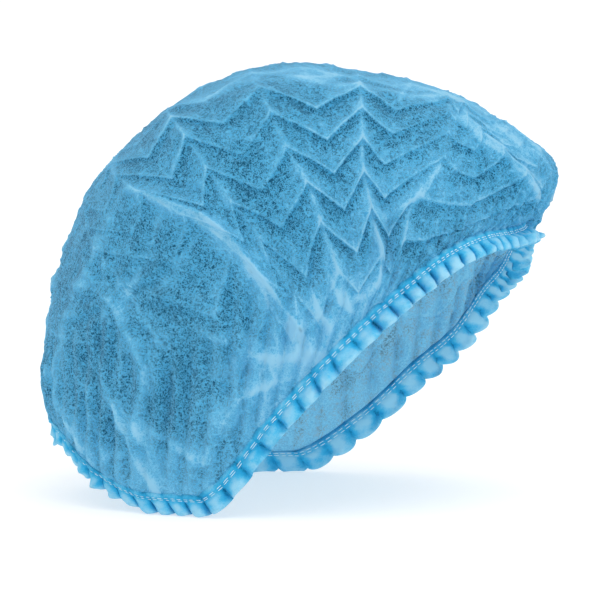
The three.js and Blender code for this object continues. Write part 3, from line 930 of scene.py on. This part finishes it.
def webMaterial(name, speckle, through):
    # tone = dense + speckle * (fibre - middle) * (most - dense) + cloud; three ramps turn it
    # into the lit colours and the passing one
    material, tree = newMaterial(name)
    dense = addNode(tree, "ShaderNodeAttribute", out="Fac", attribute_name="dense")
    deep = addNode(tree, "ShaderNodeAttribute", out="Fac", attribute_name="deep")
    fibre = fibreField(tree)
    place = addNode(tree, "ShaderNodeTexCoord", out="Object")
    inputs = {"Vector": place, "Scale": 1 / (webLook["cloudSize"] * mm), "Detail": 3.0}
    cloud = addNode(tree, "ShaderNodeTexNoise", inputs, out=0)
    inputs = {0: webLook["mostTone"], 1: dense}
    thin = addNode(tree, "ShaderNodeMath", inputs, out=0, operation="SUBTRACT", use_clamp=True)
    depth = addNode(tree, "ShaderNodeMath", {0: thin, 1: speckle}, out=0, operation="MULTIPLY")
    inputs = {0: fibre, 1: webLook["fibreMiddle"]}
    offset = addNode(tree, "ShaderNodeMath", inputs, out=0, operation="SUBTRACT")
    inputs = {0: offset, 1: depth, 2: dense}
    tone = addNode(tree, "ShaderNodeMath", inputs, out=0, operation="MULTIPLY_ADD")
    drift = addNode(tree, "ShaderNodeMath", {0: cloud, 1: 0.5}, out=0, operation="SUBTRACT")
    inputs = {0: drift, 1: webLook["cloudTone"], 2: tone}
    tone = addNode(tree, "ShaderNodeMath", inputs, out=0, operation="MULTIPLY_ADD")
    lit, deepLit, passing = (
        addNode(tree, "ShaderNodeValToRGB", {"Fac": tone}, out="Color", stops=webLook[ramp])
        for ramp in ("lit", "deepLit", "passing")
    )
    inputs = {"Factor": deep, 6: lit, 7: deepLit}
    colour = addNode(tree, "ShaderNodeMix", inputs, out=2, data_type="RGBA")
    inputs = {"Height": fibre, "Strength": 0.35, "Distance": 0.2 * mm}
    bump = addNode(tree, "ShaderNodeBump", inputs, out=0)
    inputs = {"Base Color": colour, "Roughness": webLook["roughness"], "Normal": bump}
    inputs.update({"Specular IOR Level": 0.2, "Sheen Weight": webLook["sheen"], "Sheen Roughness": 0.5})
    surface = addNode(tree, "ShaderNodeBsdfPrincipled", inputs, out=0)
    glow = addNode(tree, "ShaderNodeBsdfTranslucent", {"Color": passing}, out=0)
    mixed = addNode(tree, "ShaderNodeMixShader", {0: through, 1: surface, 2: glow}, out=0)
    addNode(tree, "ShaderNodeOutputMaterial", {"Surface": mixed})
    return material


def mattSurface(tree, colour, height, bumpStrength, bumpDepth, roughness):
    # an opaque matt surface with a fine relief, joined to the material's output
    inputs = {"Height": height, "Strength": bumpStrength, "Distance": bumpDepth * mm}
    bump = addNode(tree, "ShaderNodeBump", inputs, out=0)
    inputs = {"Base Color": colour, "Roughness": roughness, "Normal": bump, "Sheen Weight": 0.2}
    surface = addNode(tree, "ShaderNodeBsdfPrincipled", inputs, out=0)
    addNode(tree, "ShaderNodeOutputMaterial", {"Surface": surface})


# Polyester sewing thread: twisted, with a soft shine, paler than the web
threadLook = {"light": "#f4fdff", "dark": "#c8f1fc", "twist": 0.6, "roughness": 0.45}


def threadMaterial():
    material, tree = newMaterial("polyester thread, twisted")
    place = addNode(tree, "ShaderNodeTexCoord", out="Object")
    inputs = {"Vector": place, "Scale": 1 / (threadLook["twist"] * mm) / 3, "Distortion": 1.5}
    wave = addNode(tree, "ShaderNodeTexWave", inputs, out="Fac", bands_direction="DIAGONAL")
    stops = [(0.2, threadLook["dark"]), (0.6, threadLook["light"])]
    colour = addNode(tree, "ShaderNodeValToRGB", {"Fac": wave}, out="Color", stops=stops)
    mattSurface(tree, colour, wave, 0.3, 0.1, threadLook["roughness"])
    return material


# Knitted elastic: rubber threads wrapped in polyester, with fine ribs along it, matt
elasticLook = {"light": "#cdeaf5", "dark": "#8cc4dc", "rib": 0.8, "knit": 0.6, "roughness": 0.7}


def elasticMaterial():
    material, tree = newMaterial("knitted elastic, matt")
    place = addNode(tree, "ShaderNodeTexCoord", out="Object")
    inputs = {"Vector": place, "Rotation": (0.37, 0.6, 0)}
    turned = addNode(tree, "ShaderNodeMapping", inputs, out=0)
    inputs = {"Vector": turned, "Scale": 1 / (elasticLook["rib"] * mm) / 3, "Distortion": 0.4}
    ribs = addNode(tree, "ShaderNodeTexWave", inputs, out="Fac", bands_direction="Z")
    inputs = {"Vector": place, "Scale": 1 / (elasticLook["knit"] * mm)}
    knit = addNode(tree, "ShaderNodeTexVoronoi", inputs, out="Distance")
    inputs = {0: knit, 1: 0.4, 2: ribs}
    height = addNode(tree, "ShaderNodeMath", inputs, out=0, operation="MULTIPLY_ADD")
    stops = [(0.25, elasticLook["dark"]), (0.8, elasticLook["light"])]
    colour = addNode(tree, "ShaderNodeValToRGB", {"Fac": height}, out="Color", stops=stops)
    mattSurface(tree, colour, height, 0.5, 0.15, elasticLook["roughness"])
    return material


webName = "spunbond polypropylene"
crownMaterial = webMaterial(webName + ", matt", webLook["crownSpeckle"], webLook["through"])
hemMaterial = webMaterial(webName + ", gathered double", webLook["hemSpeckle"], webLook["hemThrough"])
crown.data.materials.append(crownMaterial)
hem.data.materials.append(hemMaterial)
stitching.data.materials.append(threadMaterial())
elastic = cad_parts["elastic_band"]
elasticSurface = elasticMaterial()
if elastic.material_slots:
    for materialSlot in elastic.material_slots:
        materialSlot.material = elasticSurface
else:
    elastic.data.materials.append(elasticSurface)
print("materials made")

# each new piece hangs on the root body, and the frame's crown and hem are hidden

for piece, slotName in ((crown, "pleated_web"), (hem, "hem_web"), (stitching, "hem_web")):
    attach(piece, "root")
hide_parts("crown")
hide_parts("hem_ruffle")

# the floor, lights and camera

studio = {
    "floorSize": 12,
    "floorDrop": 0.0003,  # keeps the floor clear of the rim
    "world": 1.0,
    "floorOwnLight": 0.5,  # the floor is a lit white sweep, so that shadows stay faint
    # name, place, size and power
    "softboxes": [("softbox above", (0.35, -0.4, 1.9), 1.4, 9), ("softbox right", (1.6, -1.3, 1.1), 1.0, 3)],
    "frameWidth": 321.6,  # mm across the photograph at the cap
    "distance": 3.0,
    "aimUp": 106.2,
    "sensor": 36,
}


def floorPiece():
    half = studio["floorSize"] / 2
    mesh = bpy.data.meshes.new("floor")
    level = -studio["floorDrop"]
    corners = [(-half, -half, level), (half, -half, level), (half, half, level), (-half, half, level)]
    mesh.from_pydata(corners, [], [(0, 1, 2, 3)])
    floor = bpy.data.objects.new("floor", mesh)
    bpy.context.scene.collection.objects.link(floor)
    material, tree = newMaterial("white paper, matt")
    inputs = {"Base Color": linear("#c8c8c8"), "Roughness": 0.9, "Specular IOR Level": 0.1}
    inputs.update({"Emission Color": (1, 1, 1, 1), "Emission Strength": studio["floorOwnLight"]})
    surface = addNode(tree, "ShaderNodeBsdfPrincipled", inputs, out=0)
    addNode(tree, "ShaderNodeOutputMaterial", {"Surface": surface})
    mesh.materials.append(material)
    return floor


floorPiece()


def addLight(name, place, size, power, aim=(0, 0, 0.1)):
    light = bpy.data.lights.new(name, "AREA")
    light.shape = "DISK"
    light.size = size
    light.energy = power
    lamp = bpy.data.objects.new(name, light)
    lamp.location = place
    lamp.rotation_euler = (Vector(aim) - Vector(place)).to_track_quat("-Z", "Y").to_euler()
    bpy.context.scene.collection.objects.link(lamp)
    return lamp


for softbox in studio["softboxes"]:
    addLight(*softbox)

scene = bpy.context.scene
world = bpy.data.worlds.new("white studio")
world.use_nodes = True
world.node_tree.nodes["Background"].inputs["Color"].default_value = (1, 1, 1, 1)
world.node_tree.nodes["Background"].inputs["Strength"].default_value = studio["world"]
scene.world = world
scene.view_settings.view_transform = "Standard"
scene.view_settings.look = "None"

aim = Vector((frameShift[0] * mm, frameShift[1] * mm, studio["aimUp"] * mm))
back = Vector((0, -np.cos(frontTilt), np.sin(frontTilt)))
cameraData = bpy.data.cameras.new("camera")
cameraData.sensor_width = studio["sensor"]
cameraData.lens = studio["sensor"] / (studio["frameWidth"] * mm) * studio["distance"]
camera = bpy.data.objects.new("camera", cameraData)
camera.location = aim + back * studio["distance"]
camera.rotation_mode = "QUATERNION"
camera.rotation_quaternion = (-back).to_track_quat("-Z", "Y")
scene.collection.objects.link(camera)
scene.camera = camera
print("stage and camera set")
